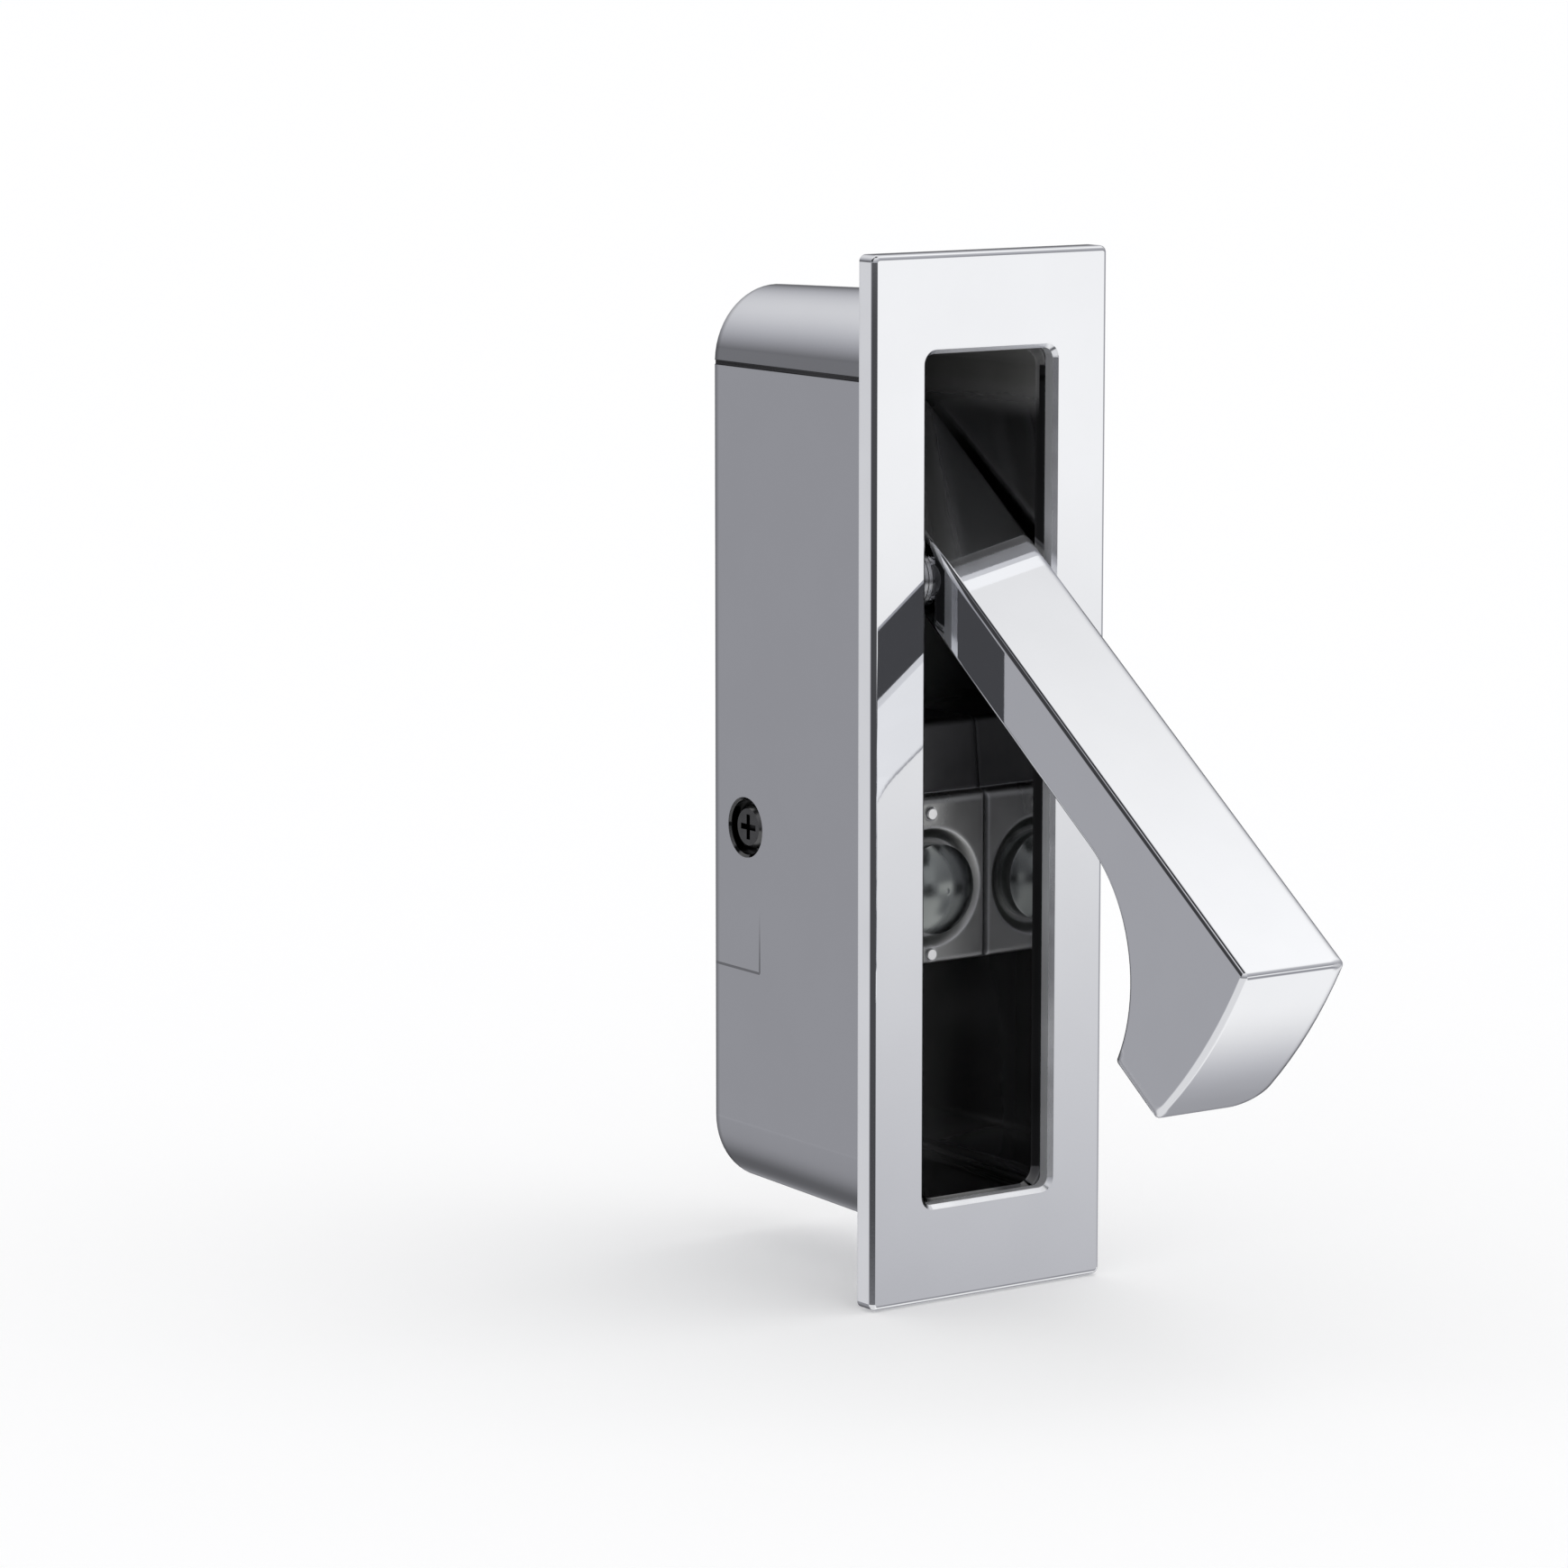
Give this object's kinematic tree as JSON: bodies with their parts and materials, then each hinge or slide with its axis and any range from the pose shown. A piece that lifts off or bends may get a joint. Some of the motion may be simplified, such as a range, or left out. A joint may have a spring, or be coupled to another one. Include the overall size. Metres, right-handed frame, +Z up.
{
  "type": "sliding door edge pull",
  "caption": "Flush edge pull for a sliding or pocket door: rectangular face plate, round-ended mortise case and a hooked finger lever that tips out on a cross pin.",
  "frame": {"origin": "centre of the face plate on its back plane, where it meets the door's edge", "axes": "+Z up along the plate, +Y into the door, +X across the plate to the right as seen from the front"},
  "size_m": [0.033, 0.0966, 0.12],
  "materials": {
    "plate_chrome": "bright chrome plate, polished",
    "case_chrome": "bright chrome plate on a die-cast wall",
    "lever_chrome": "bright chrome plate, polished",
    "pin_steel": "ground steel",
    "washer_steel": "spring steel",
    "block_chrome": "chrome plate on a casting, softer polish",
    "bumper_steel": "polished steel button",
    "screw_steel": "plated steel"
  },
  "bodies": {
    "frame": {"face_plate": "plate_chrome", "case": "case_chrome", "pivot_pin": "pin_steel", "friction_washer_left": "washer_steel", "friction_washer_right": "washer_steel", "stop_block": "block_chrome", "bumper": "bumper_steel", "face_pin_upper": "pin_steel", "face_pin_lower": "pin_steel", "block_screw_left": "screw_steel", "block_screw_right": "screw_steel"},
    "lever": {"lever": "lever_chrome"}
  },
  "joints": [
    {"name": "lever_pivot", "type": "hinge", "parent": "frame", "child": "lever", "pos_m": [0, 0.0028, 0.0229], "axis": [1, 0, 0], "range_deg": [0, 53.7]}
  ]
}
